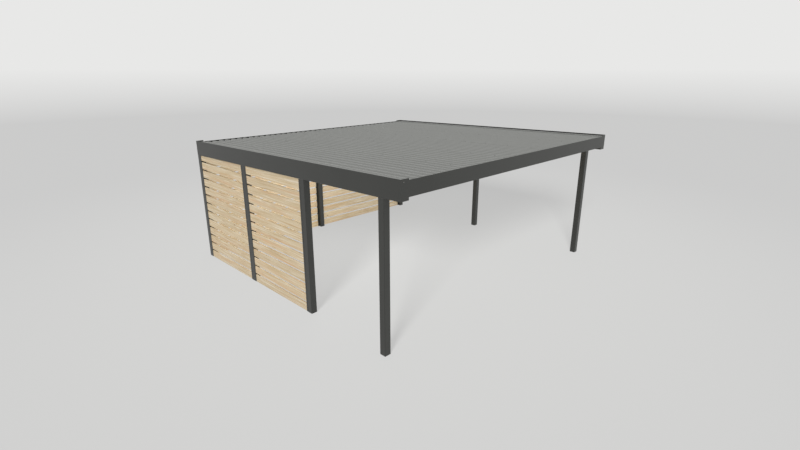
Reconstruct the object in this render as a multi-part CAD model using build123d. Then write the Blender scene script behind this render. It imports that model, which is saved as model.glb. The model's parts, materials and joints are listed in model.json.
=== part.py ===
# A double carport: square steel posts, folded steel roof beams, a ribbed sheet roof that falls
# gently to the back, and slatted timber screens on the back and on two bays of the left side.
# Millimetres. +X runs to the right along the open front, +Y to the back, +Z up, and the origin
# is on the ground under the middle of the roof.

import os

from build123d import *

# Roof as a whole
roof_width = 5900
roof_length = 5900
front_height = 2620          # ground to the top of the rim at the front edge
roof_fall_share = 0.0212     # drop towards the back for each unit of length
fold_wall = 3                # sheet thickness of every folded steel piece
bend_radius = 5              # outside radius of every fold
cut_edge_share = 1.1         # an outline side up to this share of the sheet is a cut edge

# Side beams: closed boxes with a rim that stands up along the outer edge
side_beam_width = 150
side_beam_height = 288
rim_height = 24
cap_thickness = 4

# Front beam: a lipped channel that also hides the ends of the roof sheets
front_beam_height = 224
front_beam_depth = 70
lip = 18                     # stiffening lip on the free edges of the folded channels

# Gutter beam at the back: an open trough under the ends of the roof sheets
gutter_width = 120
gutter_seat = 40             # flange folded to the front, on which the sheets lie
gutter_overhang = 45         # reach of the sheets over the trough's front wall

# Purlins between the side beams
purlin_count = 4
purlin_height = 150
purlin_flange = 60

# Cleats: angles that join the purlins' webs to the side beams
cleat_leg = 60
cleat_wall = 5
cleat_height = 100
cleat_setdown = 25           # top of a purlin to the top of its cleat

# Ribbed roof sheets, laid with the ribs front to back
rib_pitch = 137.5
rib_height = 20
crest_width = 40
rib_flank = 17               # width of one sloping side of a rib
ribs_per_sheet = 8
sheet_thickness = 1
crest_setdown = 3            # the crests lie this far below the top of the side beams' boxes
sheet_play = 2               # gap between the sheets and the steel at their edges

# Square tube posts
post_size = 110
post_wall = 4
post_radius = 8              # outside radius of the tube's corners
foot_plate = 10              # plate that closes the foot of each post
front_overhang = 304         # roof's front edge to the front posts
front_bay = 1787             # front left post to the first screen post, face to face

# Slatted screens, whose boards stand in upright channels on the posts
board_height = 145
board_thickness = 20
board_gap = 30
ground_gap = 3
smallest_top_board = 60      # a row is left out where its board would be narrower than this
top_play = 3                 # gap between the top board and the beam above it
channel_depth = 30
slot_play = 0.3              # gap between a board's face and the channel
board_end_play = 3

# Cutting tools run past the faces they open by this much
overrun = 5

# Places worked out from the sizes above
left_edge = -roof_width / 2
right_edge = roof_width / 2
front_edge = -roof_length / 2
back_edge = roof_length / 2
left_inner = left_edge + side_beam_width
right_inner = right_edge - side_beam_width
crest_drop = rim_height + crest_setdown
pan_drop = crest_drop + rib_height
seat_drop = pan_drop + sheet_thickness
front_beam_back = front_edge + front_beam_depth
gutter_front = back_edge - gutter_width
board_pitch = board_height + board_gap
channel_width = board_thickness + 2 * slot_play + 2 * fold_wall


def roof_z(y, drop):
    """Height of a point that lies a given drop below the roof's rim line."""
    return front_height - drop - roof_fall_share * (y - front_edge)


def flat_face(points):
    """Flat face inside a closed outline."""
    return make_face(Polyline(*points, close=True)).face()


def rounded(face, corners, radius):
    """The face with some of its corners rounded."""
    if not corners:
        return face
    nearest = [min(face.vertices(), key=lambda v: (Vector(*v) - corner).length) for corner in corners]
    return face.fillet_2d(radius, nearest)


def folded_face(points, hollow=False):
    """Face of a folded sheet or of the hollow in one, round at each fold and square at a cut edge."""
    corners = [Vector(*point) for point in points]
    sides = [after - corner for corner, after in zip(corners, corners[1:] + corners[:1])]
    area = sum((a.cross(b) for a, b in zip(corners, corners[1:] + corners[:1])), Vector(0, 0, 0))
    outside = []
    inside = []
    for before, corner, after in zip(sides[-1:] + sides[:-1], corners, sides):
        if min(before.length, after.length) < fold_wall * cut_edge_share:
            continue
        turns_out = before.cross(after).dot(area) > 0
        if turns_out and not hollow:
            outside.append(corner)
        else:
            inside.append(corner)
    face = rounded(flat_face(points), outside, bend_radius)
    return rounded(face, inside, bend_radius - fold_wall)


def along_roof(face, y_start, y_end):
    """Bar that runs down the roof from a face at its upper end."""
    run = y_end - y_start
    return Solid.extrude(face, Vector(0, run, -run * roof_fall_share))


def roof_points(outline, y):
    """Corners of an outline of (x, drop) points, at one distance down the roof."""
    return [(x, y, roof_z(y, drop)) for x, drop in outline]


def across_roof(outline, x_start, x_end):
    """Folded bar that runs across the roof, from an outline of (y, drop) points."""
    face = folded_face([(x_start, y, roof_z(y, drop)) for y, drop in outline])
    return Solid.extrude(face, Vector(x_end - x_start, 0, 0))


def side_beam(outer, inward):
    """Box beam with its rim; inward is 1 on the left side and -1 on the right."""
    box = [
        (0, 0),
        (fold_wall, 0),
        (fold_wall, rim_height),
        (side_beam_width, rim_height),
        (side_beam_width, side_beam_height),
        (0, side_beam_height),
    ]
    roof_of_box = rim_height + fold_wall
    floor_of_box = side_beam_height - fold_wall
    hollow = [
        (fold_wall, roof_of_box),
        (side_beam_width - fold_wall, roof_of_box),
        (side_beam_width - fold_wall, floor_of_box),
        (fold_wall, floor_of_box),
    ]
    y_start = front_edge + cap_thickness
    y_end = back_edge - cap_thickness
    box_points = roof_points([(outer + inward * t, drop) for t, drop in box], y_start)
    core_start = y_start - overrun
    core_points = roof_points([(outer + inward * t, drop) for t, drop in hollow], core_start)
    shell = along_roof(folded_face(box_points), y_start, y_end)
    return shell - along_roof(folded_face(core_points, hollow=True), core_start, y_end + overrun)


def end_cap(outer, inward, y_start):
    """Plate that closes a side beam's end, level with its rim."""
    outline = [
        (0, 0),
        (side_beam_width, 0),
        (side_beam_width, side_beam_height),
        (0, side_beam_height),
    ]
    points = roof_points([(outer + inward * t, drop) for t, drop in outline], y_start)
    lower_corners = [Vector(*point) for point in points[-2:]]
    plate = rounded(flat_face(points), lower_corners, bend_radius)
    return along_roof(plate, y_start, y_start + cap_thickness)


def front_beam():
    """Lipped channel, open to the back, whose web stands up in front of the sheets' ends."""
    web_back = front_edge + fold_wall
    bottom = rim_height + front_beam_height
    outline = [
        (front_edge, rim_height),
        (web_back, rim_height),
        (web_back, seat_drop),
        (front_beam_back, seat_drop),
        (front_beam_back, seat_drop + lip),
        (front_beam_back - fold_wall, seat_drop + lip),
        (front_beam_back - fold_wall, seat_drop + fold_wall),
        (web_back, seat_drop + fold_wall),
        (web_back, bottom - fold_wall),
        (front_beam_back - fold_wall, bottom - fold_wall),
        (front_beam_back - fold_wall, bottom - lip),
        (front_beam_back, bottom - lip),
        (front_beam_back, bottom),
        (front_edge, bottom),
    ]
    return across_roof(outline, left_inner, right_inner)


def gutter_beam():
    """Trough along the back, as deep as the side beams, that carries the sheets' lower ends."""
    floor_top = side_beam_height - fold_wall
    outline = [
        (back_edge, rim_height),
        (back_edge, side_beam_height),
        (gutter_front, side_beam_height),
        (gutter_front, seat_drop + fold_wall),
        (gutter_front - gutter_seat, seat_drop + fold_wall),
        (gutter_front - gutter_seat, seat_drop),
        (gutter_front + fold_wall, seat_drop),
        (gutter_front + fold_wall, floor_top),
        (back_edge - fold_wall, floor_top),
        (back_edge - fold_wall, rim_height),
    ]
    return across_roof(outline, left_inner, right_inner)


def purlin(y_web):
    """Lipped channel under the sheets, open to the back."""
    y_open = y_web + purlin_flange
    bottom = seat_drop + purlin_height
    outline = [
        (y_web, seat_drop),
        (y_open, seat_drop),
        (y_open, seat_drop + lip),
        (y_open - fold_wall, seat_drop + lip),
        (y_open - fold_wall, seat_drop + fold_wall),
        (y_web + fold_wall, seat_drop + fold_wall),
        (y_web + fold_wall, bottom - fold_wall),
        (y_open - fold_wall, bottom - fold_wall),
        (y_open - fold_wall, bottom - lip),
        (y_open, bottom - lip),
        (y_open, bottom),
        (y_web, bottom),
    ]
    return across_roof(outline, left_inner, right_inner)


def cleat(x_wall, inward, y_web):
    """Angle with one leg on a side beam and the other on a purlin's web."""
    outline = [
        (0, 0),
        (cleat_leg, 0),
        (cleat_leg, -cleat_wall),
        (cleat_wall, -cleat_wall),
        (cleat_wall, -cleat_leg),
        (0, -cleat_leg),
    ]
    top = roof_z(y_web, seat_drop + cleat_setdown)
    face = flat_face([(x_wall + inward * run, y_web + depth, top) for run, depth in outline])
    return Solid.extrude(face, Vector(0, 0, -cleat_height))


def roof_sheet(first_rib, last_rib, rib_total):
    """One ribbed sheet, whose last crest laps over the first crest of its neighbour."""
    half_crest = crest_width / 2
    half_foot = half_crest + rib_flank
    first_centre = -rib_total * rib_pitch / 2
    line = []
    for rib in range(first_rib, last_rib + 1):
        centre = first_centre + rib * rib_pitch
        starts_under_lap = rib == first_rib and rib > 0
        ends_over_lap = rib == last_rib and rib < rib_total
        crest = crest_drop - sheet_thickness if ends_over_lap else crest_drop
        if not starts_under_lap:
            line.append((centre - half_foot, pan_drop))
        line.append((centre - half_crest, crest))
        line.append((centre + half_crest, crest))
        if not ends_over_lap:
            line.append((centre + half_foot, pan_drop))
    if first_rib == 0:
        line.insert(0, (left_inner + sheet_play, pan_drop))
    if last_rib == rib_total:
        line.append((right_inner - sheet_play, pan_drop))
    under = [(x, drop + sheet_thickness) for x, drop in reversed(line)]
    y_start = front_edge + fold_wall + sheet_play
    face = flat_face(roof_points(line + under, y_start))
    return along_roof(face, y_start, gutter_front + fold_wall + gutter_overhang)


def post(x_start, y_start):
    """Square tube with a closed foot, cut at the top to the slope of the beam it carries."""

    def prism(inset, bottom, drop, radius):
        near = y_start + inset
        far = y_start + post_size - inset
        side = [
            (x_start + inset, near, bottom),
            (x_start + inset, far, bottom),
            (x_start + inset, far, roof_z(far, drop)),
            (x_start + inset, near, roof_z(near, drop)),
        ]
        block = Solid.extrude(flat_face(side), Vector(post_size - 2 * inset, 0, 0))
        return fillet(block.edges().filter_by(Axis.Z), radius)

    tube = prism(0, 0, side_beam_height, post_radius)
    inner_radius = post_radius - post_wall
    return tube - prism(post_wall, foot_plate, side_beam_height - overrun, inner_radius)


class Screen:
    """Bay between two posts, measured along the wall and inwards from its outer face."""

    def __init__(self, start, along, inward, length):
        self.start = Vector(*start)
        self.along = Vector(*along)
        self.inward = Vector(*inward)
        self.length = length

    def point(self, run, depth, z):
        return self.start + self.along * run + self.inward * depth + Vector(0, 0, z)

    def top(self, run):
        """Highest a board may reach below the beam, at a distance along the bay."""
        return roof_z(self.point(run, 0, 0).Y, side_beam_height) - top_play

    def boards(self):
        """Boards from the ground up, the top one cut to the slope of the beam."""
        near = fold_wall + board_end_play
        far = self.length - near
        depth = fold_wall + slot_play
        lowest_top = min(self.top(near), self.top(far))
        whole_rows = int((lowest_top - ground_gap - smallest_top_board) // board_pitch)
        solids = []
        for row in range(whole_rows + 1):
            bottom = ground_gap + row * board_pitch
            near_top = self.top(near) if row == whole_rows else bottom + board_height
            far_top = self.top(far) if row == whole_rows else bottom + board_height
            face = flat_face(
                [
                    self.point(near, depth, bottom),
                    self.point(far, depth, bottom),
                    self.point(far, depth, far_top),
                    self.point(near, depth, near_top),
                ]
            )
            solids.append(Solid.extrude(face, self.inward * board_thickness))
        return Compound(children=solids)

    def channel(self, at_far_end):
        """Upright channel on one post, open towards the boards."""
        outline = [
            (0, 0),
            (channel_depth, 0),
            (channel_depth, fold_wall),
            (fold_wall, fold_wall),
            (fold_wall, channel_width - fold_wall),
            (channel_depth, channel_width - fold_wall),
            (channel_depth, channel_width),
            (0, channel_width),
        ]
        runs = [(self.length - run if at_far_end else run, depth) for run, depth in outline]
        top = min(self.top(run) for run, depth in runs)
        face = folded_face([self.point(run, depth, ground_gap) for run, depth in runs])
        return Solid.extrude(face, Vector(0, 0, top - ground_gap))


nodes = {}

# Beams around the edge of the roof
nodes["left_side_beam"] = side_beam(left_edge, 1)
nodes["right_side_beam"] = side_beam(right_edge, -1)
nodes["front_beam"] = front_beam()
nodes["gutter_beam"] = gutter_beam()
cap_back = back_edge - cap_thickness
nodes["front_left_end_cap"] = end_cap(left_edge, 1, front_edge)
nodes["back_left_end_cap"] = end_cap(left_edge, 1, cap_back)
nodes["front_right_end_cap"] = end_cap(right_edge, -1, front_edge)
nodes["back_right_end_cap"] = end_cap(right_edge, -1, cap_back)

# Purlins, spaced evenly between the front beam and the gutter beam
purlin_step = (gutter_front - front_beam_back + purlin_flange) / (purlin_count + 1)
left_cleats = []
right_cleats = []
for number in range(1, purlin_count + 1):
    y_web = front_beam_back - purlin_flange + number * purlin_step
    nodes[f"purlin_{number}"] = purlin(y_web)
    left_cleats.append(cleat(left_inner, 1, y_web))
    right_cleats.append(cleat(right_inner, -1, y_web))
nodes["left_purlin_cleats"] = Compound(children=left_cleats)
nodes["right_purlin_cleats"] = Compound(children=right_cleats)

# Roof sheets, side by side from the left
rib_base = crest_width + 2 * rib_flank
rib_total = int((right_inner - left_inner - rib_base - 2 * sheet_play) // rib_pitch)
for number, first_rib in enumerate(range(0, rib_total, ribs_per_sheet), start=1):
    last_rib = min(first_rib + ribs_per_sheet, rib_total)
    nodes[f"roof_sheet_{number}"] = roof_sheet(first_rib, last_rib, rib_total)

# Posts
right_posts = right_edge - post_size
back_posts = back_edge - post_size
front_posts = front_edge + front_overhang
screen_post = front_posts + front_bay
left_middle = (screen_post + back_posts) / 2
back_middle = -post_size / 2
nodes["front_left_post"] = post(left_edge, front_posts)
nodes["left_screen_post"] = post(left_edge, screen_post)
nodes["left_middle_post"] = post(left_edge, left_middle)
nodes["back_left_post"] = post(left_edge, back_posts)
nodes["back_middle_post"] = post(back_middle, back_posts)
nodes["back_right_post"] = post(right_posts, back_posts)
nodes["right_middle_post"] = post(right_posts, (front_posts + back_posts) / 2)
nodes["front_right_post"] = post(right_posts, front_posts)

# Screens and the channels that hold their boards
left_bay = left_middle - screen_post - post_size
back_bay = back_middle - left_edge - post_size
to_back = (0, 1, 0)
to_right = (1, 0, 0)
to_front = (0, -1, 0)
screens = {
    "left_front": Screen((left_edge, screen_post + post_size, 0), to_back, to_right, left_bay),
    "left_back": Screen((left_edge, left_middle + post_size, 0), to_back, to_right, left_bay),
    "back_left": Screen((left_edge + post_size, back_edge, 0), to_right, to_front, back_bay),
    "back_right": Screen((back_middle + post_size, back_edge, 0), to_right, to_front, back_bay),
}
for place, screen in screens.items():
    nodes[f"{place}_screen"] = screen.boards()
    nodes[f"{place}_near_channel"] = screen.channel(False)
    nodes[f"{place}_far_channel"] = screen.channel(True)

os.makedirs("parts", exist_ok=True)
for name, shape in nodes.items():
    export_step(shape, f"parts/{name}.step")
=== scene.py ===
# %% [markdown]
# # A double carport
# The posts, beams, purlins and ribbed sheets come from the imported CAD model, which is loaded as a
# fixed frame: nothing here moves it. This lesson dresses that frame. It gives each surface its
# finish, builds the timber screens board by board and adds the screws that hold the roof and boards.

# %% Load the frame
import json
import math

import bpy
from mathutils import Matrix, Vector


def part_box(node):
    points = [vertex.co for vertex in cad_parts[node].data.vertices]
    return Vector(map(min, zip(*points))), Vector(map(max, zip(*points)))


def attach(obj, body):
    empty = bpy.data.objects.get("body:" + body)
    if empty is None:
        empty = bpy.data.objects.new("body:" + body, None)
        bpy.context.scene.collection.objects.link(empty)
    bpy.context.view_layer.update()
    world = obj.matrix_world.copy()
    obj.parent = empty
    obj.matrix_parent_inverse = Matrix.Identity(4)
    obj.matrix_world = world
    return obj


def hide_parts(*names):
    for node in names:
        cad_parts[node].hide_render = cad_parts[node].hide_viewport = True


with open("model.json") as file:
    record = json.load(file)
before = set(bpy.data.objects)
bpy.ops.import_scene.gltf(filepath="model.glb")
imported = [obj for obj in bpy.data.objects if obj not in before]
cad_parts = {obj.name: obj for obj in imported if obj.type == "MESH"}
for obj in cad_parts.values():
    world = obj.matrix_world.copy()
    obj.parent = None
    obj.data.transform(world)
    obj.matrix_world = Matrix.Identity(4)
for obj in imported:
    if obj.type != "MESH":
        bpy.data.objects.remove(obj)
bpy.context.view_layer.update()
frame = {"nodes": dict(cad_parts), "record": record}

scene = bpy.context.scene
scene.view_settings.view_transform = "Standard"
MM = 0.001  # the scene is in metres, and the sizes below are in millimetres

# %% [markdown]
# ## Helpers for colours and node trees
# A shader works in linear light, but a given colour is an sRGB value, so one function turns
# hex colours to linear. Node trees, for materials and for geometry, are many nodes with a few
# settings each. They could be drawn by hand in the node editor, but a script shows every setting and
# gives the same tree each time. One function that adds a node, sets it and links it keeps the trees
# readable. Sockets go by name, or by number where a node has several of one name.

# %% Colour and node helpers
COLOUR_A, COLOUR_B, MIXED_COLOUR = 6, 7, 2  # the sockets of a Mix node that blends colours


def linear(colour):
    """Linear RGBA for a shader socket, from an sRGB hex colour."""
    parts = [int(colour[at:at + 2], 16) / 255 for at in (1, 3, 5)]
    return [c / 12.92 if c <= 0.04045 else ((c + 0.055) / 1.055) ** 2.4 for c in parts] + [1.0]


def add(tree, kind, inputs=None, **settings):
    """Add a node. Settings are its properties, and inputs are values or the sockets that feed it."""
    node = tree.nodes.new(kind)
    for name, value in settings.items():
        setattr(node, name, value)
    for name, value in (inputs or {}).items():
        sources = value if isinstance(value, list) else [value]
        if isinstance(sources[0], bpy.types.NodeSocket):
            for source in sources:
                tree.links.new(source, node.inputs[name])
        else:
            node.inputs[name].default_value = value
    return node


def new_material(name):
    """A material with its tree and its Principled shader."""
    material = bpy.data.materials.new(name)
    material.use_nodes = True
    return material, material.node_tree, material.node_tree.nodes["Principled BSDF"]


print("mid grey #808080 in linear light:", [round(c, 3) for c in linear("#808080")])

# %% [markdown]
# ## Powder coat
# The posts and beams are steel with a satin anthracite powder coat. The powder is sprayed on dry and
# baked, so it melts to an even skin with a faint orange peel, and it is never quite one tone over a
# long beam. Faces that look up collect pale, matt dust from the rain, and the same pale tone also paints
# them lighter, as light from above would. The dust and this painted top light could be laid on piece by
# piece. Here they follow the face normal, so one material serves every steel piece.

# %% Anthracite powder coat
powder_coat, tree, shader = new_material("anthracite_powder_coat")
place = add(tree, "ShaderNodeTexCoord").outputs["Object"]
cloud_size = 700 * MM  # slow drift in the baked film
peel_size, peel_depth = 7 * MM, 0.4 * MM  # real peel is about 2 mm wide, drawn coarser so that it shows
cloud = add(tree, "ShaderNodeTexNoise", {"Vector": place, "Scale": 1 / cloud_size, "Detail": 3})
coat = add(tree, "ShaderNodeMix", {
    "Factor": cloud.outputs["Fac"], COLOUR_A: linear("#2d2e2b"), COLOUR_B: linear("#343532"),
}, data_type="RGBA")
peel = add(tree, "ShaderNodeTexNoise", {"Vector": place, "Scale": 1 / peel_size, "Detail": 1})
ripple = add(tree, "ShaderNodeBump", {
    "Strength": 0.12, "Distance": peel_depth, "Height": peel.outputs["Fac"],
})
tree.links.new(ripple.outputs["Normal"], shader.inputs["Normal"])
print(powder_coat.name, "has a peel of", round(peel_size / MM, 1), "mm")

# %% Dust and painted top light on faces that look up
dust_size = 60 * MM  # patches where rain has dried
facing = add(tree, "ShaderNodeSeparateXYZ", {
    "Vector": add(tree, "ShaderNodeNewGeometry").outputs["Normal"],
})
looks_up = add(tree, "ShaderNodeMapRange", {
    "Value": facing.outputs["Z"], "From Min": 0.75, "From Max": 0.98,
})
dust = add(tree, "ShaderNodeTexNoise", {"Vector": place, "Scale": 1 / dust_size, "Detail": 6})
dust_and_light_film = add(tree, "ShaderNodeMapRange", {
    "Value": dust.outputs["Fac"], "From Min": 0.3, "From Max": 0.7, "To Min": 0.72, "To Max": 0.92,
})
dust_and_top_light = add(tree, "ShaderNodeMath", {
    0: looks_up.outputs["Result"], 1: dust_and_light_film.outputs["Result"],
}, operation="MULTIPLY")
# painted light: faces that look up are made paler, partly as dust in patches and partly as painted light
# from above
skin = add(tree, "ShaderNodeMix", {
    "Factor": dust_and_top_light.outputs["Value"],
    COLOUR_A: coat.outputs[MIXED_COLOUR], COLOUR_B: linear("#878885"),
}, data_type="RGBA")
gloss = add(tree, "ShaderNodeMapRange", {  # satin where it is clean, matt under the dust
    "Value": dust_and_top_light.outputs["Value"], "To Min": 0.34, "To Max": 0.75,
})
tree.links.new(skin.outputs[MIXED_COLOUR], shader.inputs["Base Color"])
tree.links.new(gloss.outputs["Result"], shader.inputs["Roughness"])
print(powder_coat.name, "has", len(tree.nodes), "nodes")

# %% [markdown]
# ## Coated roof sheet
# The sheets are rolled from coil-coated steel: a thin smooth paint with a low sheen on top, and a
# cheaper pale grey coat on the back, which makes the space under the roof lighter. Rain runs down the
# pans between the ribs and leaves long, faint streaks. A noise that is stretched along the fall of the
# roof draws them without any painting by hand, and the face normal tells the top from the back.

# %% Streaks of rain
coil_coat, tree, shader = new_material("coil_coated_steel_sheet")
place = add(tree, "ShaderNodeTexCoord").outputs["Object"]
streak_width, streak_length = 45 * MM, 2600 * MM
stretched = add(tree, "ShaderNodeMapping", {
    "Vector": place, "Scale": (1 / streak_width, 1 / streak_length, 1 / streak_width),
})
streaks = add(tree, "ShaderNodeTexNoise", {
    "Vector": stretched.outputs["Vector"], "Scale": 1, "Detail": 5,
})
spots = add(tree, "ShaderNodeTexNoise", {"Vector": place, "Scale": 1 / dust_size, "Detail": 6})
wear = add(tree, "ShaderNodeMix", {
    "Factor": 0.4, "A": streaks.outputs["Fac"], "B": spots.outputs["Fac"],
})
tone = add(tree, "ShaderNodeMapRange", {
    "Value": wear.outputs["Result"], "From Min": 0.3, "From Max": 0.7,
})
print("streaks", round(streak_width / MM), "mm wide and", round(streak_length / MM), "mm long")

# %% Top coat and back coat
paint = add(tree, "ShaderNodeMix", {
    "Factor": tone.outputs["Result"], COLOUR_A: linear("#878885"), COLOUR_B: linear("#8c8d8a"),
}, data_type="RGBA")
back_paint = add(tree, "ShaderNodeMix", {
    "Factor": tone.outputs["Result"], COLOUR_A: linear("#c9c9c4"), COLOUR_B: linear("#d6d6d1"),
}, data_type="RGBA")
facing = add(tree, "ShaderNodeSeparateXYZ", {
    "Vector": add(tree, "ShaderNodeNewGeometry").outputs["Normal"],
})
is_back = add(tree, "ShaderNodeMapRange", {
    "Value": facing.outputs["Z"], "From Min": -0.2, "From Max": -0.3,
})
coat = add(tree, "ShaderNodeMix", {
    "Factor": is_back.outputs["Result"],
    COLOUR_A: paint.outputs[MIXED_COLOUR], COLOUR_B: back_paint.outputs[MIXED_COLOUR],
}, data_type="RGBA")
gloss = add(tree, "ShaderNodeMapRange", {
    "Value": spots.outputs["Fac"], "To Min": 0.55, "To Max": 0.7,
})
tree.links.new(coat.outputs[MIXED_COLOUR], shader.inputs["Base Color"])
tree.links.new(gloss.outputs["Result"], shader.inputs["Roughness"])
shader.inputs["Specular IOR Level"].default_value = 0.25  # a matt paint reflects less than a glossy one
print(coil_coat.name, "has", len(tree.nodes), "nodes")

# %% [markdown]
# ## Larch boards
# The screens are planed larch: pale straw-coloured wood with narrow, darker bands of summer wood, a
# fine fibre and a few small knots. A picture of wood could be laid on each board, but it would repeat.
# Noise of real sizes gives every board a face of its own. Each board comes from another log: a number
# stored on it moves the pattern and changes the tone. A second attribute holds the place within the
# board, with X along it, so one material serves boards in any direction.

# %% Where a point lies in its log
larch, tree, shader = new_material("planed_larch")
log_step = (7.3, 3.1, 0.9)  # metres in the pattern from one board to the next, so that they share nothing
board = add(tree, "ShaderNodeAttribute", attribute_name="board_number")
place = add(tree, "ShaderNodeAttribute", attribute_name="board_place")
chance = add(tree, "ShaderNodeTexWhiteNoise", {"W": board.outputs["Fac"]}, noise_dimensions="1D")
shift = add(tree, "ShaderNodeVectorMath", {
    0: log_step, "Scale": board.outputs["Fac"],
}, operation="SCALE")
log = add(tree, "ShaderNodeVectorMath", {0: place.outputs["Vector"], 1: shift.outputs["Vector"]})
print(larch.name, "moves", round(Vector(log_step).length, 1), "m through its pattern for each board")

# %% Ground colour of the wood
def drawn_out(length, width, detail):
    """Noise that is long along the board and narrow across it."""
    stretched = add(tree, "ShaderNodeMapping", {
        "Vector": log.outputs["Vector"], "Scale": (1 / length, 1 / width, 1 / width),
    })
    return add(tree, "ShaderNodeTexNoise", {
        "Vector": stretched.outputs["Vector"], "Scale": 1, "Detail": detail, "Roughness": 0.6,
    }).outputs["Fac"]


summer = drawn_out(length=900 * MM, width=20 * MM, detail=4)
grain = add(tree, "ShaderNodeValToRGB", {"Fac": summer})
stops = grain.color_ramp.elements
stops[0].position, stops[0].color = 0.3, linear("#ece3d1")
stops[1].position, stops[1].color = 0.72, linear("#ba9c6c")
for position, tint in ((0.43, "#dccdb0"), (0.57, "#cfbb96")):
    stops.new(position).color = linear(tint)
resin = drawn_out(length=1300 * MM, width=55 * MM, detail=2)
warm = add(tree, "ShaderNodeMapRange", {
    "Value": resin, "From Min": 0.5, "From Max": 0.72, "To Max": 0.75,
})
sap = add(tree, "ShaderNodeMix", {
    "Factor": warm.outputs["Result"], COLOUR_A: grain.outputs["Color"], COLOUR_B: linear("#d6b28a"),
}, data_type="RGBA")
print(larch.name, "has a ground of", len(stops), "tones")

# %% [markdown]
# ### Growth rings
# A board is sawn lengthwise through the rings of a log, and because it never lies quite along the heart,
# the rings run out of its face in long arches. Plain stripes would miss that. So the rings are drawn as
# rings, round a heart line behind the face and a little askew to it. Where a branch has grown through,
# they part round its knot, so the knots' places are settled first.

# %% Places of the knots
knot_spacing, knot_radius = 420 * MM, 15 * MM
knot_stretch = 0.65  # scale along the board, which makes a knot a little longer than it is wide
push_radius, push_rings = 5 * knot_radius, 2  # how far a knot pushes the rings, and by how many of them
knot_place = add(tree, "ShaderNodeMapping", {
    "Vector": log.outputs["Vector"], "Scale": (knot_stretch, 1, 1),
})
knots = add(tree, "ShaderNodeTexVoronoi", {
    "Vector": knot_place.outputs["Vector"], "Scale": 1 / knot_spacing,
})
pushed = add(tree, "ShaderNodeMapRange", {
    "Value": knots.outputs["Distance"], "From Max": push_radius / knot_spacing,
    "To Min": push_rings * math.tau, "To Max": 0,
}, interpolation_type="SMOOTHERSTEP")
print("knots", round(2 * knot_radius / MM), "mm across, about", round(knot_spacing / MM), "mm apart")

# %% Rings round the heart
ring_width = 9 * MM  # real rings are 2 to 4 mm, drawn coarser so that they show
heart_drift, heart_sway = 0.016, 0.012  # how far the heart leaves the board's line, per metre, in and up
wobble_stretch = 0.12  # the rings' wobble is this much slower along the board
wave_length_at_one = math.tau / 20  # a wave texture at scale 1 repeats after this many units
heart_low, heart_high = (0, -90 * MM, -30 * MM), (0, 70 * MM, 175 * MM)  # where the heart may lie
VECTOR_TO_MIN, VECTOR_TO_MAX = 9, 10  # the sockets of a Map Range node that maps vectors
heart = add(tree, "ShaderNodeMapRange", {
    "Vector": chance.outputs["Color"], VECTOR_TO_MIN: heart_low, VECTOR_TO_MAX: heart_high,
}, data_type="FLOAT_VECTOR")
from_heart = add(tree, "ShaderNodeVectorMath", {
    0: place.outputs["Vector"], 1: heart.outputs["Vector"],
}, operation="SUBTRACT")
askew = add(tree, "ShaderNodeMapping", {
    "Vector": from_heart.outputs["Vector"], "Scale": (wobble_stretch, 1, 1),
    "Rotation": (0, math.atan(heart_sway / wobble_stretch), math.atan(heart_drift / wobble_stretch)),
})
rings = add(tree, "ShaderNodeTexWave", {
    "Vector": askew.outputs["Vector"], "Scale": wave_length_at_one / ring_width,
    "Distortion": 6, "Detail": 2, "Detail Scale": 0.35, "Phase Offset": pushed.outputs["Result"],
}, wave_type="RINGS", rings_direction="X", wave_profile="SAW")
print("rings", round(ring_width / MM, 1), "mm wide")

# %% [markdown]
# ### Summer wood, fibres and knots
# Within a ring the wood darkens slowly and ends in a sharp, dense band of summer wood, which a saw-tooth
# wave gives. The planer leaves fine fibres in low relief, and polishes the dense bands more than the
# soft ones. A knot is a darker disc with a ring of bark round it. Marks this small would gain nothing
# from being modelled, so the material draws them: a knot is coloured by the distance from its middle,
# and the fibres make its edge ragged.

# %% Summer wood and fibres
late_cover = 0.42  # how much of the ground the darkest part of a ring covers
fibre_depth = 0.6 * MM
late_wood = add(tree, "ShaderNodeMapRange", {
    "Value": rings.outputs["Fac"], "From Min": 0.45, "From Max": 1, "To Max": late_cover,
}, interpolation_type="SMOOTHSTEP")
ringed = add(tree, "ShaderNodeMix", {
    "Factor": late_wood.outputs["Result"],
    COLOUR_A: sap.outputs[MIXED_COLOUR], COLOUR_B: linear("#a87d47"),
}, data_type="RGBA")
fibre = drawn_out(length=240 * MM, width=5 * MM, detail=3)  # real fibres are finer; drawn to show
fibre_tone = add(tree, "ShaderNodeMapRange", {
    "Value": fibre, "From Min": 0.3, "From Max": 0.7, "To Min": 0.93, "To Max": 1.05,
})
board_tone = add(tree, "ShaderNodeMapRange", {
    "Value": chance.outputs["Value"], "To Min": 0.92, "To Max": 1,
})
tone = add(tree, "ShaderNodeMath", {
    0: fibre_tone.outputs["Result"], 1: board_tone.outputs["Result"],
}, operation="MULTIPLY")
wood = add(tree, "ShaderNodeVectorMath", {
    0: ringed.outputs[MIXED_COLOUR], "Scale": tone.outputs["Value"],
}, operation="SCALE")
relief = add(tree, "ShaderNodeBump", {"Strength": 0.25, "Distance": fibre_depth, "Height": fibre})
dryness = add(tree, "ShaderNodeMapRange", {
    "Value": late_wood.outputs["Result"], "From Max": late_cover, "To Min": 0.7, "To Max": 0.5,
})
tree.links.new(relief.outputs["Normal"], shader.inputs["Normal"])
tree.links.new(dryness.outputs["Result"], shader.inputs["Roughness"])
print("summer wood covers up to", late_cover)

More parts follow.
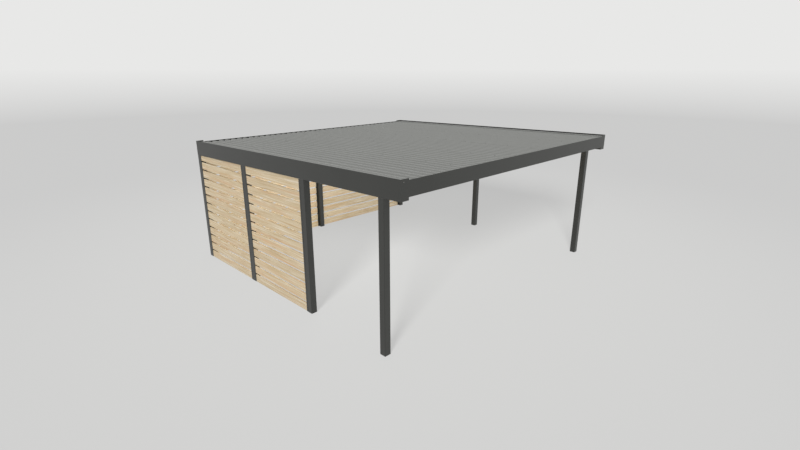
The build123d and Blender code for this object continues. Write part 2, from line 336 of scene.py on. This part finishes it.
# %% Knots
raggedness = 0.04  # how far the fibres move a knot's edge, as a share of the spacing
ragged = add(tree, "ShaderNodeMath", {
    0: fibre, 1: raggedness, 2: knots.outputs["Distance"],
}, operation="MULTIPLY_ADD")
from_knot = add(tree, "ShaderNodeMapRange", {
    "Value": ragged.outputs["Value"], "From Min": raggedness / 2,
    "From Max": raggedness / 2 + knot_radius / knot_spacing,
})
knot = add(tree, "ShaderNodeValToRGB", {"Fac": from_knot.outputs["Result"]})
stops = knot.color_ramp.elements
for position in (0.5, 0.78):  # between the middle and the edge: darker wood, then bark
    stops.new(position)
for stop, tint, cover in zip(stops, ("#b0824f", "#97693c", "#6b4726", "#8c6238"), (0.8, 0.85, 0.85, 0)):
    stop.color = linear(tint)[:3] + [cover]  # the ring of bark is darkest, and past it the wood shows
colour = add(tree, "ShaderNodeMix", {
    "Factor": knot.outputs["Alpha"], COLOUR_A: wood.outputs["Vector"], COLOUR_B: knot.outputs["Color"],
}, data_type="RGBA")
tree.links.new(colour.outputs[MIXED_COLOUR], shader.inputs["Base Color"])
print(larch.name, "has", len(tree.nodes), "nodes")

# %% [markdown]
# ## Screws and their seals
# The bolts and the small screws are stainless steel, a bright metal with fine drawing marks that blur
# what it reflects. A roof screw is painted like its sheet, and it presses a ring of black rubber onto
# it, which keeps the rain out. Two plain colours could do for things this small, but a little grit in
# the shine and in the black keeps them from looking like plastic in a close view.

# %% Stainless steel
stainless, tree, shader = new_material("stainless_steel")
place = add(tree, "ShaderNodeTexCoord").outputs["Object"]
grit_size = 2 * MM  # drawing marks are finer; drawn to show
grit = add(tree, "ShaderNodeTexNoise", {"Vector": place, "Scale": 1 / grit_size, "Detail": 2})
gloss = add(tree, "ShaderNodeMapRange", {"Value": grit.outputs["Fac"], "To Min": 0.25, "To Max": 0.5})
tree.links.new(gloss.outputs["Result"], shader.inputs["Roughness"])
shader.inputs["Base Color"].default_value = linear("#c4c4c0")
shader.inputs["Metallic"].default_value = 1
print(stainless.name, "has marks of", round(grit_size / MM, 1), "mm")

# %% Sealing rubber
rubber, tree, shader = new_material("sealing_rubber")
place = add(tree, "ShaderNodeTexCoord").outputs["Object"]
bloom_size = 3 * MM  # pale spots that come with age
bloom = add(tree, "ShaderNodeTexNoise", {"Vector": place, "Scale": 1 / bloom_size, "Detail": 3})
black = add(tree, "ShaderNodeMix", {
    "Factor": bloom.outputs["Fac"], COLOUR_A: linear("#1b1b1a"), COLOUR_B: linear("#2a2a28"),
}, data_type="RGBA")
tree.links.new(black.outputs[MIXED_COLOUR], shader.inputs["Base Color"])
shader.inputs["Roughness"].default_value = 0.75
print(rubber.name, "has a bloom of", round(bloom_size / MM, 1), "mm")

# %% [markdown]
# ## Finish the CAD pieces
# The record names the slot that each node takes its finish from. Every piece could get its material by
# name, but going by slot reaches all of them in one loop. The screens are finished too, although the
# boards that are built below stand in for them.

# %% Assign the finishes
finish_of_slot = {"steel_frame": powder_coat, "roof_sheet": coil_coat, "timber_boards": larch}
for part in frame["record"]["subparts"]:
    for slot in frame["nodes"][part["node"]].material_slots:
        slot.material = finish_of_slot[part["material_slot"]]

# %% [markdown]
# ## A screen of boards
# A screen is one rule repeated: level boards of the same size, a gap between them, and a top board cut
# to the slope of the beam. Copies of one board could be placed in a loop, but Geometry Nodes hold such a
# rule as a tree with a few sizes to set. A rounded rectangle is swept along a line to make one board with
# eased edges, a line of points sets the rows, and one board goes on each point. The top board is made
# too tall and its upper edge is then pushed down onto the slope.

# %% Sizes of a screen
def new_tree(name, sockets):
    """A Geometry Nodes tree with named inputs, and its group input and output nodes."""
    tree = bpy.data.node_groups.new(name, "GeometryNodeTree")
    tree.interface.new_socket("Geometry", in_out="INPUT", socket_type="NodeSocketGeometry")
    tree.interface.new_socket("Geometry", in_out="OUTPUT", socket_type="NodeSocketGeometry")
    for socket, kind in sockets.items():
        tree.interface.new_socket(socket, in_out="INPUT", socket_type=f"NodeSocket{kind}")
    return tree, add(tree, "NodeGroupInput").outputs, add(tree, "NodeGroupOutput").inputs


screen_sockets = {
    "Start": "Vector", "Turn": "Vector", "Length": "Float", "Thickness": "Float", "Board height": "Float",
    "Edge radius": "Float", "Rows": "Int", "Pitch": "Float", "Near top": "Float", "Far top": "Float",
    "Top stretch": "Float", "First number": "Int", "Finish": "Material",
}
screen_tree, given, result = new_tree("board_screen", screen_sockets)
tree = screen_tree
print(screen_tree.name, "takes", len(screen_sockets), "values")

# %% One board
section = add(tree, "GeometryNodeCurvePrimitiveQuadrilateral", {
    "Width": given["Thickness"], "Height": given["Board height"],
})
eased = add(tree, "GeometryNodeFilletCurve", {
    "Curve": section.outputs["Curve"], "Count": 3, "Radius": given["Edge radius"],
}, mode="POLY")
run = add(tree, "ShaderNodeCombineXYZ", {"X": given["Length"]})
line = add(tree, "GeometryNodeCurvePrimitiveLine", {"End": run.outputs["Vector"]})
swept = add(tree, "GeometryNodeCurveToMesh", {
    "Curve": line.outputs["Curve"], "Profile Curve": eased.outputs["Curve"], "Fill Caps": True,
})
across = add(tree, "ShaderNodeCombineXYZ", {"Y": given["Thickness"], "Z": given["Board height"]})
to_corner = add(tree, "ShaderNodeVectorMath", {  # from the middle of the section to its corner
    0: across.outputs["Vector"], 1: (0, -0.5, 0.5),
}, operation="MULTIPLY")
board = add(tree, "GeometryNodeTransform", {
    "Geometry": swept.outputs["Mesh"], "Translation": to_corner.outputs["Vector"],
})
in_board = add(tree, "GeometryNodeStoreNamedAttribute", {
    "Geometry": board.outputs["Geometry"], "Name": "board_place",
    "Value": add(tree, "GeometryNodeInputPosition").outputs["Position"],
}, domain="POINT", data_type="FLOAT_VECTOR")
print("one board takes", len(tree.nodes), "nodes so far")

# %% A board on each row
same_number = 0.5  # two numbers that differ by less are one row, or one layer
step = add(tree, "ShaderNodeCombineXYZ", {"Z": given["Pitch"]})
rows = add(tree, "GeometryNodeMeshLine", {"Count": given["Rows"], "Offset": step.outputs["Vector"]})
row = add(tree, "GeometryNodeInputIndex").outputs["Index"]
last_row = add(tree, "ShaderNodeMath", {0: given["Rows"], 1: 1}, operation="SUBTRACT")
is_top = add(tree, "ShaderNodeMath", {
    0: row, 1: last_row.outputs["Value"], 2: same_number,
}, operation="COMPARE")
taller = add(tree, "ShaderNodeMix", {
    "Factor": is_top.outputs["Value"], "A": 1, "B": given["Top stretch"],
})
size = add(tree, "ShaderNodeCombineXYZ", {"X": 1, "Y": 1, "Z": taller.outputs["Result"]})
stack = add(tree, "GeometryNodeInstanceOnPoints", {
    "Points": rows.outputs["Mesh"], "Instance": in_board.outputs["Geometry"],
    "Scale": size.outputs["Vector"],
})
number = add(tree, "ShaderNodeMath", {0: row, 1: given["First number"]})
numbered = add(tree, "GeometryNodeStoreNamedAttribute", {
    "Geometry": stack.outputs["Instances"], "Name": "board_number", "Value": number.outputs["Value"],
}, domain="INSTANCE", data_type="FLOAT")
boards = add(tree, "GeometryNodeRealizeInstances", {"Geometry": numbered.outputs["Geometry"]})
print("the rows bring it to", len(tree.nodes))

# %% The cut under the beam
point = add(tree, "ShaderNodeSeparateXYZ", {
    "Vector": add(tree, "GeometryNodeInputPosition").outputs["Position"],
})
slope = add(tree, "ShaderNodeMapRange", {
    "Value": point.outputs["X"], "From Max": given["Length"],
    "To Min": given["Near top"], "To Max": given["Far top"],
})
lower = add(tree, "ShaderNodeMath", {
    0: point.outputs["Z"], 1: slope.outputs["Result"],
}, operation="MINIMUM")
cut_point = add(tree, "ShaderNodeCombineXYZ", {
    "X": point.outputs["X"], "Y": point.outputs["Y"], "Z": lower.outputs["Value"],
})
cut = add(tree, "GeometryNodeSetPosition", {
    "Geometry": boards.outputs["Geometry"], "Position": cut_point.outputs["Vector"],
})
placed = add(tree, "GeometryNodeTransform", {
    "Geometry": cut.outputs["Geometry"], "Translation": given["Start"], "Rotation": given["Turn"],
})
finished = add(tree, "GeometryNodeSetMaterial", {
    "Geometry": placed.outputs["Geometry"], "Material": given["Finish"],
})
tree.links.new(finished.outputs["Geometry"], result["Geometry"])
print(screen_tree.name, "has", len(screen_tree.nodes), "nodes")

# %% [markdown]
# ## The four screens
# Two screens stand on the left side and two make the back wall. Their sizes could be typed in once more,
# but each screen's start, length, thickness and top come from the box of the CAD screen, so a new board
# lies where its CAD board lies. The boards' height, gap and count are given.
# The fall of the roof is read from the tops of two posts. The tree ends in real geometry, because
# instances would not survive the export, and its result is kept as a plain mesh.

# %% From a tree to a mesh
def grow(name, tree, values, points=()):
    """Run a tree over some points and return its result as a plain mesh object."""
    seed_mesh = bpy.data.meshes.new(name)
    seed_mesh.from_pydata([tuple(p) for p in points], [], [])
    piece = bpy.data.objects.new(name, seed_mesh)
    scene.collection.objects.link(piece)
    modifier = piece.modifiers.new(name, "NODES")
    modifier.node_group = tree
    for socket in tree.interface.items_tree:
        if socket.in_out == "INPUT" and socket.name in values:
            modifier[socket.identifier] = values[socket.name]
    depsgraph = bpy.context.evaluated_depsgraph_get()
    mesh = bpy.data.meshes.new_from_object(
        piece.evaluated_get(depsgraph), preserve_all_data_layers=True, depsgraph=depsgraph)
    piece.modifiers.remove(modifier)
    piece.data = mesh
    return piece


upper_post, lower_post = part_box("left_screen_post"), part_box("back_left_post")
roof_fall = (upper_post[1].z - lower_post[1].z) / (lower_post[0].y - upper_post[0].y)
print(f"the roof falls by {roof_fall:.2%}")

# %% Build the screens
board_height, board_gap, edge_radius, row_count = 145 * MM, 30 * MM, 3 * MM, 13
board_pitch = board_height + board_gap
spare_top = 0.1  # share of a board by which the top one is too tall before it is cut
numbers_per_screen = 20  # more than its rows, so that no two boards share a number
for order, bay in enumerate(("left_front", "left_back", "back_left", "back_right")):
    low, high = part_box(f"{bay}_screen")
    on_left = bay.startswith("left")
    length = high.y - low.y if on_left else high.x - low.x
    top_row_z = low.z + (row_count - 1) * board_pitch
    far_top = high.z - roof_fall * length if on_left else high.z
    piece = grow(f"{bay}_boards", screen_tree, {
        "Start": (low.x, low.y if on_left else high.y, low.z),
        "Turn": (0, 0, math.radians(90) if on_left else 0),
        "Length": length,
        "Thickness": high.x - low.x if on_left else high.y - low.y,
        "Board height": board_height, "Edge radius": edge_radius, "Rows": row_count, "Pitch": board_pitch,
        "Near top": high.z - low.z, "Far top": far_top - low.z,
        "Top stretch": (high.z - top_row_z) / board_height + spare_top,
        "First number": 1 + numbers_per_screen * order,
        "Finish": larch,
    })
    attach(piece, "root")
    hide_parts(f"{bay}_screen")
    new_low = Vector(map(min, zip(*[v.co for v in piece.data.vertices])))
    new_high = Vector(map(max, zip(*[v.co for v in piece.data.vertices])))
    print(piece.name, len(piece.data.polygons), "faces, off its CAD box by",
          [round(d / MM, 2) for d in (*(new_low - low), *(new_high - high))], "mm")

# %% [markdown]
# ## Screws and bolts
# Every fastener here is a stack of discs: a seal, a washer and a head with six sides or round. Each kind
# could be modelled by itself. Instead one tree makes the stack by extruding a flat face upwards and
# drawing in its top edge, puts it on each point it is given and turns each head a little differently, as
# a fitter leaves them. Calling the tree with other sizes gives roof screws, small round-headed screws and
# heavy bolts.

# %% Sizes of a fastener
discs = ("Seal", "Washer", "Head")
fastener_sockets = {
    "Turn": "Vector", "Chamfer": "Float", "Round sides": "Int", "Head sides": "Int", "Seed": "Int",
}
for disc in discs:
    fastener_sockets.update({
        f"{disc} radius": "Float", f"{disc} height": "Float", f"{disc} finish": "Material",
    })
fastener_tree, given, result = new_tree("fasteners", fastener_sockets)
tree = fastener_tree
print(fastener_tree.name, "takes", len(fastener_sockets), "values")

# %% One disc
crown_share = 0.88  # the top of a disc is this much narrower than its wall
weld_distance = 0.001 * MM


def disc_layer(number, disc):
    """A closed disc that carries its number on each face, and the height of its top."""
    face = add(tree, "GeometryNodeMeshCircle", {
        "Vertices": given["Head sides" if disc == "Head" else "Round sides"],
        "Radius": given[f"{disc} radius"],
    }, fill_type="NGON")
    wall = add(tree, "GeometryNodeExtrudeMesh", {
        "Mesh": face.outputs["Mesh"], "Offset": (0, 0, 1), "Offset Scale": given[f"{disc} height"],
    })
    rim = add(tree, "GeometryNodeExtrudeMesh", {
        "Mesh": wall.outputs["Mesh"], "Selection": wall.outputs["Top"],
        "Offset": (0, 0, 1), "Offset Scale": given["Chamfer"],
    })
    drawn_in = add(tree, "GeometryNodeScaleElements", {
        "Geometry": rim.outputs["Mesh"], "Selection": rim.outputs["Top"], "Scale": crown_share,
    })
    under = add(tree, "GeometryNodeFlipFaces", {"Mesh": face.outputs["Mesh"]})
    both = add(tree, "GeometryNodeJoinGeometry", {
        "Geometry": [drawn_in.outputs["Geometry"], under.outputs["Mesh"]],
    })
    closed = add(tree, "GeometryNodeMergeByDistance", {
        "Geometry": both.outputs["Geometry"], "Distance": weld_distance,
    })
    marked = add(tree, "GeometryNodeStoreNamedAttribute", {
        "Geometry": closed.outputs["Geometry"], "Name": "layer", "Value": number,
    }, domain="FACE", data_type="INT")
    height = add(tree, "ShaderNodeMath", {0: given[f"{disc} height"], 1: given["Chamfer"]})
    return marked.outputs["Geometry"], height.outputs["Value"]


print("a disc draws in to", crown_share, "of its width at the top")

# %% The stack of discs
lowest, level = disc_layer(0, discs[0])
layers = [lowest]
for number, disc in enumerate(discs[1:], start=1):
    layer, height = disc_layer(number, disc)
    lift = add(tree, "ShaderNodeCombineXYZ", {"Z": level})
    raised = add(tree, "GeometryNodeTransform", {
        "Geometry": layer, "Translation": lift.outputs["Vector"],
    })
    layers.append(raised.outputs["Geometry"])
    level = add(tree, "ShaderNodeMath", {0: level, 1: height}).outputs["Value"]
stack = add(tree, "GeometryNodeJoinGeometry", {"Geometry": layers})
print(len(layers), "discs in a stack")

# %% Heads turned and discs finished
spread = add(tree, "GeometryNodeInstanceOnPoints", {
    "Points": given["Geometry"], "Instance": stack.outputs["Geometry"], "Rotation": given["Turn"],
})
spin = add(tree, "FunctionNodeRandomValue", {
    "Min": (0, 0, 0), "Max": (0, 0, math.tau), "Seed": given["Seed"],
}, data_type="FLOAT_VECTOR")
turned = add(tree, "GeometryNodeRotateInstances", {
    "Instances": spread.outputs["Instances"], "Rotation": spin.outputs["Value"], "Local Space": True,
})
real = add(tree, "GeometryNodeRealizeInstances", {"Geometry": turned.outputs["Instances"]})
layer_of_face = add(tree, "GeometryNodeInputNamedAttribute", {"Name": "layer"}, data_type="INT")
painted = real.outputs["Geometry"]
for number, disc in enumerate(discs):
    chosen = add(tree, "ShaderNodeMath", {
        0: layer_of_face.outputs["Attribute"], 1: number, 2: same_number,
    }, operation="COMPARE")
    painted = add(tree, "GeometryNodeSetMaterial", {
        "Geometry": painted, "Selection": chosen.outputs["Value"], "Material": given[f"{disc} finish"],
    }).outputs["Geometry"]
tree.links.new(painted, result["Geometry"])
print(fastener_tree.name, "has", len(fastener_tree.nodes), "nodes")

# %% [markdown]
# ## Roof screws
# Roof screws go through the flat pans of the sheets into what lies under them: in every pan at the front
# beam and the gutter's seat, in every second pan on the purlins. Stitch screws hold the side laps on
# their crests. Rays could be cast down to find the sheet, but the roof is one plane, so the height of
# each screw follows from the top of the first purlin and the fall.

# %% Fasteners on their points
round_sides = 12  # few, because there are hundreds of heads


def fix(name, values, points, turn, seed):
    """Fasteners of one kind and one direction, riding on the frame."""
    piece = grow(name, fastener_tree, {
        **values, "Turn": turn, "Seed": seed, "Round sides": round_sides,
    }, points)
    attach(piece, "root")
    print(piece.name, len(points), "fasteners,", len(piece.data.polygons), "faces")


seat_low, seat_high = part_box("purlin_1")
sheet_thickness = 1 * MM


def pan_top(y):
    """Height of the sheets' flat pans at a distance down the roof."""
    return seat_high.z - roof_fall * (y - seat_low.y) + sheet_thickness


print("pans lie at", round(pan_top(0), 3), "m over the middle")

# %% Screws in the pans
roof_screw = {
    "Seal radius": 7.6 * MM, "Seal height": 1.6 * MM, "Seal finish": rubber,
    "Washer radius": 8 * MM, "Washer height": 0.8 * MM, "Washer finish": coil_coat,
    "Head radius": 4.6 * MM, "Head height": 3.8 * MM, "Head finish": coil_coat,
    "Head sides": 6, "Chamfer": 0.5 * MM,
}
rib_pitch, rib_total, purlin_count = 137.5 * MM, 40, 4
first_rib = -rib_total * rib_pitch / 2
pans = [first_rib + (number + 0.5) * rib_pitch for number in range(rib_total)]
front_inset, gutter_inset = 40 * MM, 20 * MM  # from the front edge of beam and gutter to their screws
front_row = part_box("front_beam")[0].y + front_inset
gutter_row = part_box("gutter_beam")[0].y + gutter_inset
screw_points = [(x, y, pan_top(y)) for y in (front_row, gutter_row) for x in pans]
for number in range(1, purlin_count + 1):
    purlin_low, purlin_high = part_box(f"purlin_{number}")
    y = (purlin_low.y + purlin_high.y) / 2
    screw_points += [(x, y, pan_top(y)) for x in pans[::2]]
roof_turn = (-math.atan(roof_fall), 0, 0)
fix("roof_screws", roof_screw, screw_points, roof_turn, seed=1)

# %% Stitch screws in the laps
stitch_step, stitch_count = 480 * MM, 12
ribs_per_sheet, rib_height = 8, 20 * MM
lap_crest = rib_height + sheet_thickness
stitch_points = []
for rib in range(ribs_per_sheet, rib_total, ribs_per_sheet):
    for number in range(stitch_count):
        y = front_row + (number + 0.5) * stitch_step
        stitch_points.append((first_rib + rib * rib_pitch, y, pan_top(y) + lap_crest))
fix("lap_stitch_screws", roof_screw, stitch_points, roof_turn, seed=2)

# %% [markdown]
# ## Cleat bolts
# An angle cleat holds each end of a purlin, with two bolts into the side beam and two into the purlin.
# They are heavier than the roof screws and go in sideways, which only takes other sizes and another turn
# of the same tree. Their places are counted from the purlin's own box, as a fitter would mark them out,
# so they follow the cleats down the roof.

# %% Cleat bolts
bolt = {
    "Seal radius": 10 * MM, "Seal height": 1 * MM, "Seal finish": stainless,
    "Washer radius": 10 * MM, "Washer height": 1 * MM, "Washer finish": stainless,
    "Head radius": 9.8 * MM, "Head height": 5.6 * MM, "Head finish": stainless,
    "Head sides": 6, "Chamfer": 0.6 * MM,
}
cleat_wall, bolt_inset, bolt_drops = 5 * MM, 35 * MM, (28 * MM, 72 * MM)
to_right, to_left, to_front, to_back = [
    tuple(math.radians(angle) for angle in turn)
    for turn in ((0, 90, 0), (0, -90, 0), (90, 0, 0), (-90, 0, 0))
]
web_points = []
for side, inward, beam_turn in (("left", 1, to_right), ("right", -1, to_left)):
    cleats_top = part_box(f"{side}_purlin_cleats")[1].z
    beam_points = []
    for number in range(1, purlin_count + 1):
        purlin_low, purlin_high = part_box(f"purlin_{number}")
        wall_x = purlin_low.x if side == "left" else purlin_high.x
        top = cleats_top - roof_fall * (purlin_low.y - seat_low.y)
        for drop in bolt_drops:
            beam_points.append((wall_x + inward * cleat_wall, purlin_low.y - bolt_inset, top - drop))
            web_points.append((wall_x + inward * bolt_inset, purlin_low.y - cleat_wall, top - drop))
    fix(f"{side}_beam_bolts", bolt, beam_points, beam_turn, seed=3)
fix("purlin_bolts", bolt, web_points, to_front, seed=4)

# %% [markdown]
# ## Screws in the channels and the end caps
# A small round-headed screw holds each end of a board, through the channel and at half the board's
# height, and one holds each end cap. Round heads have nothing to catch on, so they suit places within
# reach. The points lie on faces of the CAD boxes, so each screw sits flat on its piece.

# %% Channel screws
small_screw = {
    "Seal radius": 4.2 * MM, "Seal height": 0.3 * MM, "Seal finish": stainless,
    "Washer radius": 3.9 * MM, "Washer height": 0.5 * MM, "Washer finish": stainless,
    "Head radius": 3.2 * MM, "Head height": 0.3 * MM, "Head finish": stainless,
    "Head sides": round_sides, "Chamfer": 0.4 * MM,
}
for wall, turn in (("left", to_right), ("back", to_front)):
    points = []
    for bay in ("left_front", "left_back") if wall == "left" else ("back_left", "back_right"):
        for end in ("near", "far"):
            low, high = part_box(f"{bay}_{end}_channel")
            middle = (low + high) / 2
            for row in range(row_count):
                z = low.z + row * board_pitch + board_height / 2
                points.append((high.x, middle.y, z) if wall == "left" else (middle.x, low.y, z))
    fix(f"{wall}_channel_screws", small_screw, points, turn, seed=5)

# %% End cap screws
cap_screw_share, cap_screw_drop = 0.38, 40 * MM  # from the cap's outer edge, and from its top
for end, turn in (("front", to_front), ("back", to_back)):
    points = []
    for side in ("left", "right"):
        low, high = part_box(f"{end}_{side}_end_cap")
        across = cap_screw_share * (high.x - low.x)
        x = low.x + across if side == "left" else high.x - across
        points.append((x, low.y if end == "front" else high.y, high.z - cap_screw_drop))
    fix(f"{end}_cap_screws", small_screw, points, turn, seed=6)

# %% [markdown]
# ## Floor
# The carport stands on a plain pale floor. What the camera sees of it is mostly an even tone, with a
# painted pool of light near the carport, which keeps the shadow soft. Far away it fades to the colour of
# the backdrop, so no horizon shows. A curved studio wall would hide the horizon too, but it would stand
# in the way of views from other sides.

# %% Floor
reach = 3000  # metres, so that the edge is lost in the fade
floor_mesh = bpy.data.meshes.new("floor")
corners = [(-reach, -reach, 0), (reach, -reach, 0), (reach, reach, 0), (-reach, reach, 0)]
floor_mesh.from_pydata(corners, [], [(0, 1, 2, 3)])
floor = bpy.data.objects.new("floor", floor_mesh)
scene.collection.objects.link(floor)
pale, tree, shader = new_material("pale_floor")
floor_mesh.materials.append(pale)
shader.inputs["Base Color"].default_value = linear("#cfcfcd")
shader.inputs["Roughness"].default_value = 0.9
shader.inputs["Specular IOR Level"].default_value = 0.1
print("floor", 2 * reach, "m across")

# %% Even tone of the floor, with a painted pool of light
even_share, pool_radius = 0.94, 14  # the radius is in metres from the middle of the carport
place = add(tree, "ShaderNodeTexCoord").outputs["Object"]
away = add(tree, "ShaderNodeVectorMath", {0: place}, operation="LENGTH").outputs["Value"]
# painted light: the floor's tone is lighter near the carport, a pool of light painted into it
pool = add(tree, "ShaderNodeMapRange", {
    "Value": away, "From Max": pool_radius,
}, interpolation_type="SMOOTHSTEP")
tone = add(tree, "ShaderNodeMix", {
    "Factor": pool.outputs["Result"], COLOUR_A: linear("#c4c4c3"), COLOUR_B: linear("#b7b7b7"),
}, data_type="RGBA")
rays = add(tree, "ShaderNodeLightPath").outputs
seen = add(tree, "ShaderNodeMath", {
    0: rays["Is Camera Ray"], 1: rays["Is Glossy Ray"],
}, operation="MAXIMUM")
glow = add(tree, "ShaderNodeMix", {
    "Factor": seen.outputs["Value"],
    COLOUR_A: linear("#efefee"), COLOUR_B: tone.outputs[MIXED_COLOUR],
}, data_type="RGBA")
even = add(tree, "ShaderNodeEmission", {"Color": glow.outputs[MIXED_COLOUR]})
soft = add(tree, "ShaderNodeMixShader", {
    "Fac": even_share, 1: shader.outputs["BSDF"], 2: even.outputs["Emission"],
})
print("light pool", 2 * pool_radius, "m across")

# %% Fade to the backdrop
backdrop_colour, clear_radius = "#e8e8e7", 38  # the floor starts to fade this many metres away
nearness = add(tree, "ShaderNodeMath", {0: clear_radius, 1: away}, operation="DIVIDE")
fade = add(tree, "ShaderNodeMath", {
    0: 1, 1: nearness.outputs["Value"],
}, operation="SUBTRACT", use_clamp=True)
haze = add(tree, "ShaderNodeEmission", {"Color": linear(backdrop_colour)})
faded = add(tree, "ShaderNodeMixShader", {
    "Fac": fade.outputs["Value"], 1: soft.outputs["Shader"], 2: haze.outputs["Emission"],
})
tree.links.new(faded.outputs["Shader"], tree.nodes["Material Output"].inputs["Surface"])
print(pale.name, "has", len(tree.nodes), "nodes")

# %% [markdown]
# ## Light
# An even white surround lights the steel softly from all sides, while the camera and the reflections see
# a plain backdrop in its place. A wide lamp adds a little light from above, and a panel under the purlins
# lights the boards from inside. One strong lamp could draw the shadow, but it would also mark every rib
# and post. So a low key light is linked to the floor alone: it draws the long, soft shadow, and the
# carport keeps its even light.

# %% World
world = bpy.data.worlds.new("studio")
scene.world = world
world.use_nodes = True
tree = world.node_tree
surround = tree.nodes["Background"]
surround.inputs["Color"].default_value = linear("#ffffff")
surround.inputs["Strength"].default_value = 1.0
backdrop = add(tree, "ShaderNodeBackground", {"Color": linear(backdrop_colour), "Strength": 1})
rays = add(tree, "ShaderNodeLightPath").outputs
seen = add(tree, "ShaderNodeMath", {
    0: rays["Is Camera Ray"], 1: rays["Is Glossy Ray"],
}, operation="MAXIMUM")
seen_or_through = add(tree, "ShaderNodeMath", {
    0: seen.outputs["Value"], 1: rays["Is Transmission Ray"],
}, operation="MAXIMUM")
studio = add(tree, "ShaderNodeMixShader", {
    "Fac": seen_or_through.outputs["Value"],
    1: surround.outputs["Background"], 2: backdrop.outputs["Background"],
})
tree.links.new(studio.outputs["Shader"], tree.nodes["World Output"].inputs["Surface"])
print("surround at strength", surround.inputs["Strength"].default_value)

# %% Lamps over and under the roof
for name, side, spot, power in (  # metres, metres and watts
    ("soft_box", 10, (0, 0, 9), 45),
    ("roof_panel", 2.0, (-1.1, 1.2, 2.2), 60),
):
    light = bpy.data.lights.new(name, "AREA")
    light.size, light.energy = side, power
    lamp = bpy.data.objects.new(name, light)
    lamp.location = spot
    lamp.visible_camera = lamp.visible_glossy = False
    scene.collection.objects.link(lamp)
    print(name, side, "m,", power, "W")

# %% Key light for the floor
key_direction, key_width, key_power = Vector((1.89, 1.05, -1)), math.radians(15), 24
floor_key = bpy.data.lights.new("floor_key", "SUN")
floor_key.angle, floor_key.energy = key_width, key_power
lamp = bpy.data.objects.new("floor_key", floor_key)
lamp.rotation_euler = key_direction.to_track_quat("-Z", "Y").to_euler()
lit_by_key = bpy.data.collections.new("lit_by_key")
lit_by_key.objects.link(floor)
lamp.light_linking.receiver_collection = lit_by_key
scene.collection.objects.link(lamp)
print("floor key", floor_key.energy, "W/m2")

# %% [markdown]
# ## Camera
# The camera stands off the front left corner, a little higher than the roof, and looks across it. A view
# could be set by eye, but this one was solved from the corners of posts and roof, with the focal length
# in pixels of a picture 800 wide. The width of the sensor turns that into a lens in millimetres.

# %% Camera
picture_width_px, focal_px, sensor_mm = 800, 482.5, 36
viewpoint = (-7.008, -7.0, 3.907)
turn_right, look_down = math.radians(45), math.radians(18.01)
camera_data = bpy.data.cameras.new("camera")
camera_data.sensor_width = sensor_mm
camera_data.lens = focal_px / picture_width_px * sensor_mm
camera = bpy.data.objects.new("camera", camera_data)
camera.location = viewpoint
camera.rotation_euler = (math.radians(90) - look_down, 0, -turn_right)
scene.collection.objects.link(camera)
scene.camera = camera
print("lens", round(camera_data.lens, 2), "mm")
